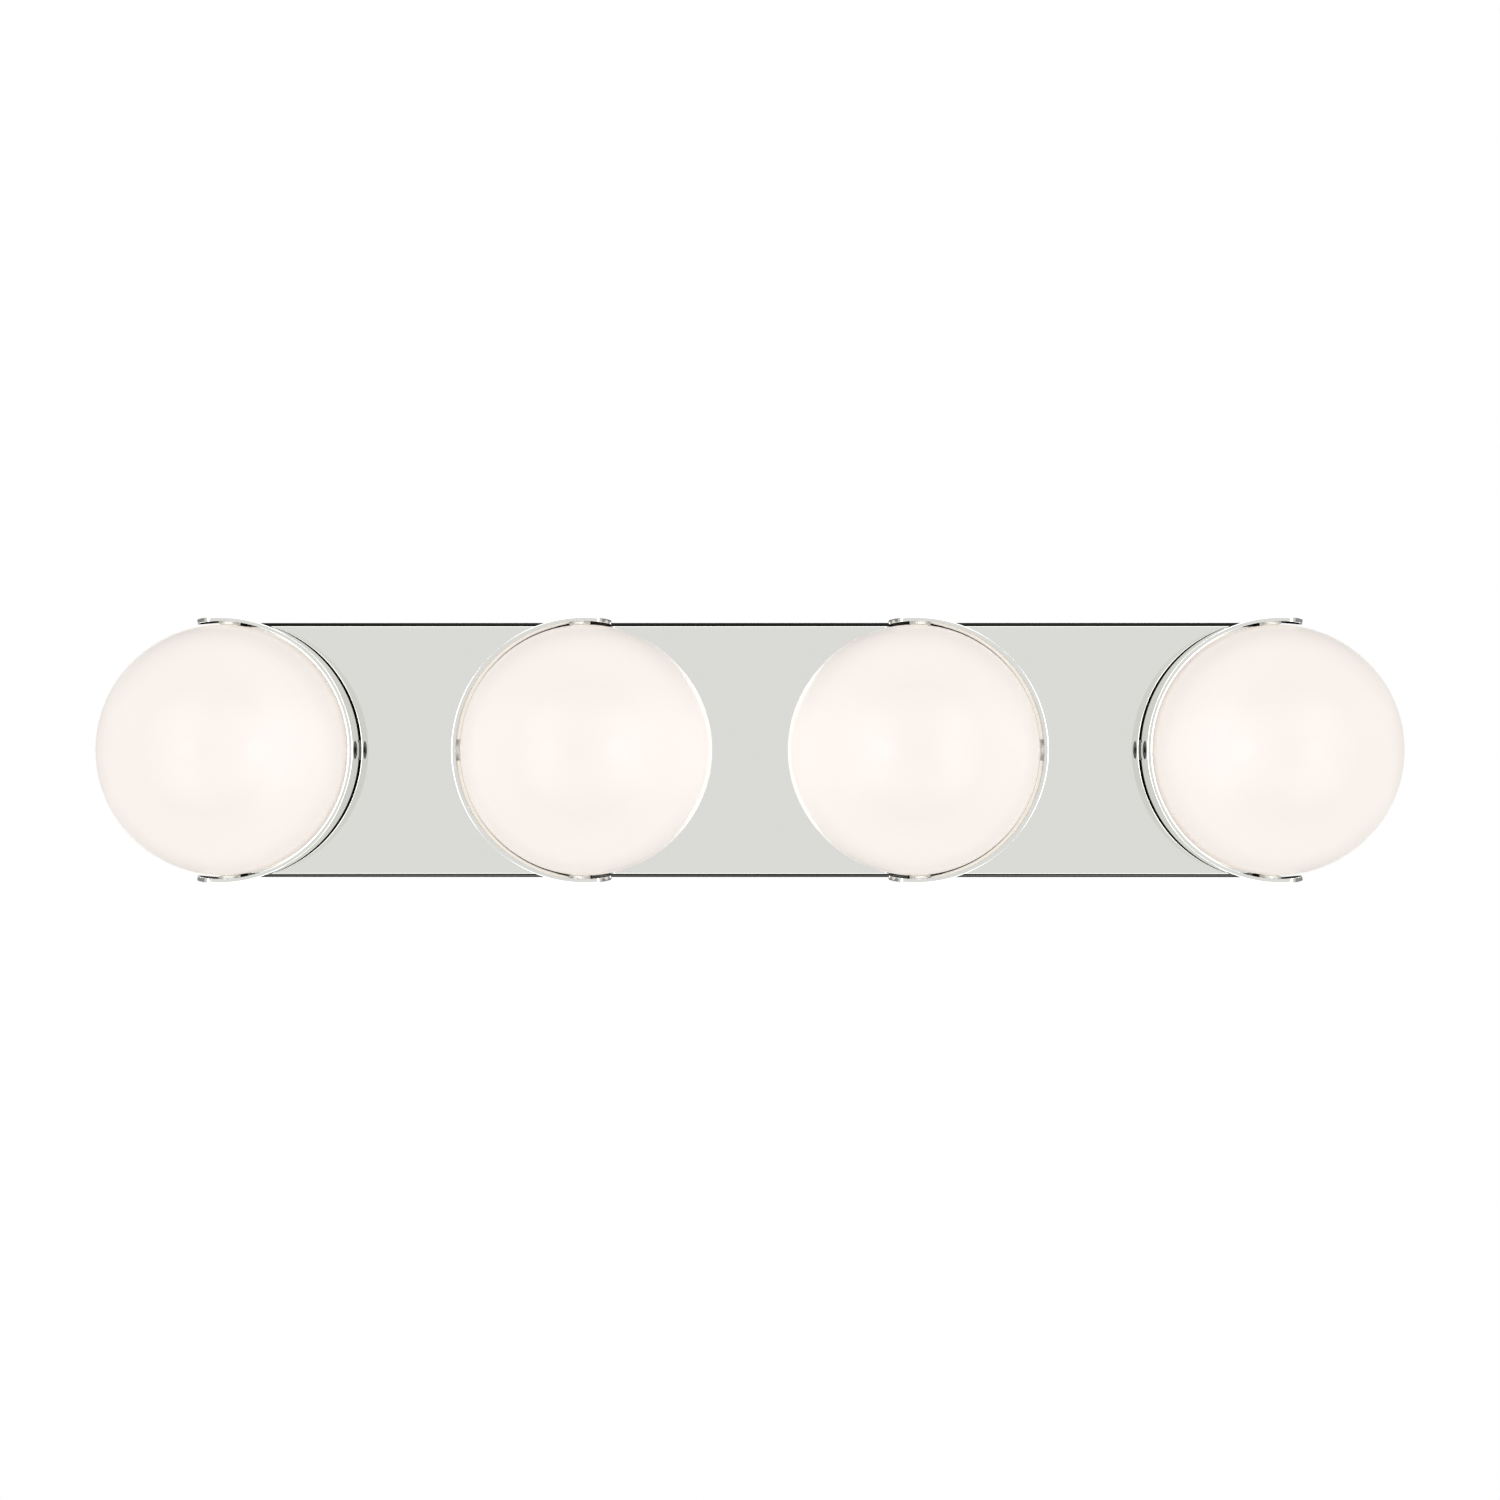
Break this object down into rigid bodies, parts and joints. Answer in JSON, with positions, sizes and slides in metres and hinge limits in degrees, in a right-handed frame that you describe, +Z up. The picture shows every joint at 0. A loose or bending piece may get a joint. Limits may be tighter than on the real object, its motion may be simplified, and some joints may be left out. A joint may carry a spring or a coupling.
{
  "type": "vanity light bar",
  "caption": "Wall-mounted vanity light bar: a polished pan with round ends carrying opal glass domes, each held in a C-shaped metal strap.",
  "frame": {"origin": "middle of the wall bracket's back face, on the wall plane", "axes": "+X to the right facing the light, +Z up, -Y out of the wall towards the viewer"},
  "size_m": [0.6438, 0.0775, 0.1308],
  "materials": {
    "polished_nickel": "polished",
    "zinc_plated_steel": "zinc plated",
    "etched_opal_glass": "satin etched opal",
    "porcelain": "glazed porcelain",
    "lamp_glass": "frosted",
    "silicone": "matte",
    "blackened_steel": "blackened",
    "green_steel": "green lacquer",
    "black_insulation": "satin",
    "white_insulation": "satin",
    "bare_copper": "drawn",
    "orange_nylon": "moulded",
    "green_nylon": "moulded"
  },
  "bodies": {
    "fixture": {"backplate": "polished_nickel", "fitter_1": "polished_nickel", "fitter_2": "polished_nickel", "fitter_3": "polished_nickel", "fitter_4": "polished_nickel", "fitter_nut_1": "zinc_plated_steel", "fitter_nut_2": "zinc_plated_steel", "fitter_nut_3": "zinc_plated_steel", "fitter_nut_4": "zinc_plated_steel", "gasket_1": "silicone", "gasket_2": "silicone", "gasket_3": "silicone", "gasket_4": "silicone", "ground_screw": "green_steel", "lampholder_1": "porcelain", "lampholder_2": "porcelain", "lampholder_3": "porcelain", "lampholder_4": "porcelain", "side_screw_bottom_left": "zinc_plated_steel", "side_screw_bottom_right": "zinc_plated_steel", "side_screw_top_left": "zinc_plated_steel", "side_screw_top_right": "zinc_plated_steel", "strap_1": "polished_nickel", "strap_2": "polished_nickel", "strap_3": "polished_nickel", "strap_4": "polished_nickel", "strap_screw_1_bottom": "blackened_steel", "strap_screw_1_middle": "blackened_steel", "strap_screw_1_top": "blackened_steel", "strap_screw_2_bottom": "blackened_steel", "strap_screw_2_middle": "blackened_steel", "strap_screw_2_top": "blackened_steel", "strap_screw_3_bottom": "blackened_steel", "strap_screw_3_middle": "blackened_steel", "strap_screw_3_top": "blackened_steel", "strap_screw_4_bottom": "blackened_steel", "strap_screw_4_middle": "blackened_steel", "strap_screw_4_top": "blackened_steel", "wall_bracket": "zinc_plated_steel", "wire_black": "black_insulation", "wire_ground": "bare_copper", "wire_nut_black": "orange_nylon", "wire_nut_ground": "green_nylon", "wire_nut_white": "orange_nylon", "wire_white": "white_insulation"},
    "shade_1": {"glass_1": "etched_opal_glass"},
    "bulb_1": {"lamp_1": "lamp_glass"},
    "shade_2": {"glass_2": "etched_opal_glass"},
    "bulb_2": {"lamp_2": "lamp_glass"},
    "shade_3": {"glass_3": "etched_opal_glass"},
    "bulb_3": {"lamp_3": "lamp_glass"},
    "shade_4": {"glass_4": "etched_opal_glass"},
    "bulb_4": {"lamp_4": "lamp_glass"}
  },
  "joints": [
    {"name": "glass_1_pull", "type": "slide", "parent": "fixture", "child": "shade_1", "axis": [0, -1, 0], "range_m": [0, 0.06]},
    {"name": "glass_2_pull", "type": "slide", "parent": "fixture", "child": "shade_2", "axis": [0, -1, 0], "range_m": [0, 0.06]},
    {"name": "glass_3_pull", "type": "slide", "parent": "fixture", "child": "shade_3", "axis": [0, -1, 0], "range_m": [0, 0.06]},
    {"name": "glass_4_pull", "type": "slide", "parent": "fixture", "child": "shade_4", "axis": [0, -1, 0], "range_m": [0, 0.06]},
    {"name": "lamp_1_pull", "type": "slide", "parent": "fixture", "child": "bulb_1", "axis": [0, -1, 0], "range_m": [0, 0.01]},
    {"name": "lamp_2_pull", "type": "slide", "parent": "fixture", "child": "bulb_2", "axis": [0, -1, 0], "range_m": [0, 0.01]},
    {"name": "lamp_3_pull", "type": "slide", "parent": "fixture", "child": "bulb_3", "axis": [0, -1, 0], "range_m": [0, 0.01]},
    {"name": "lamp_4_pull", "type": "slide", "parent": "fixture", "child": "bulb_4", "axis": [0, -1, 0], "range_m": [0, 0.01]}
  ]
}
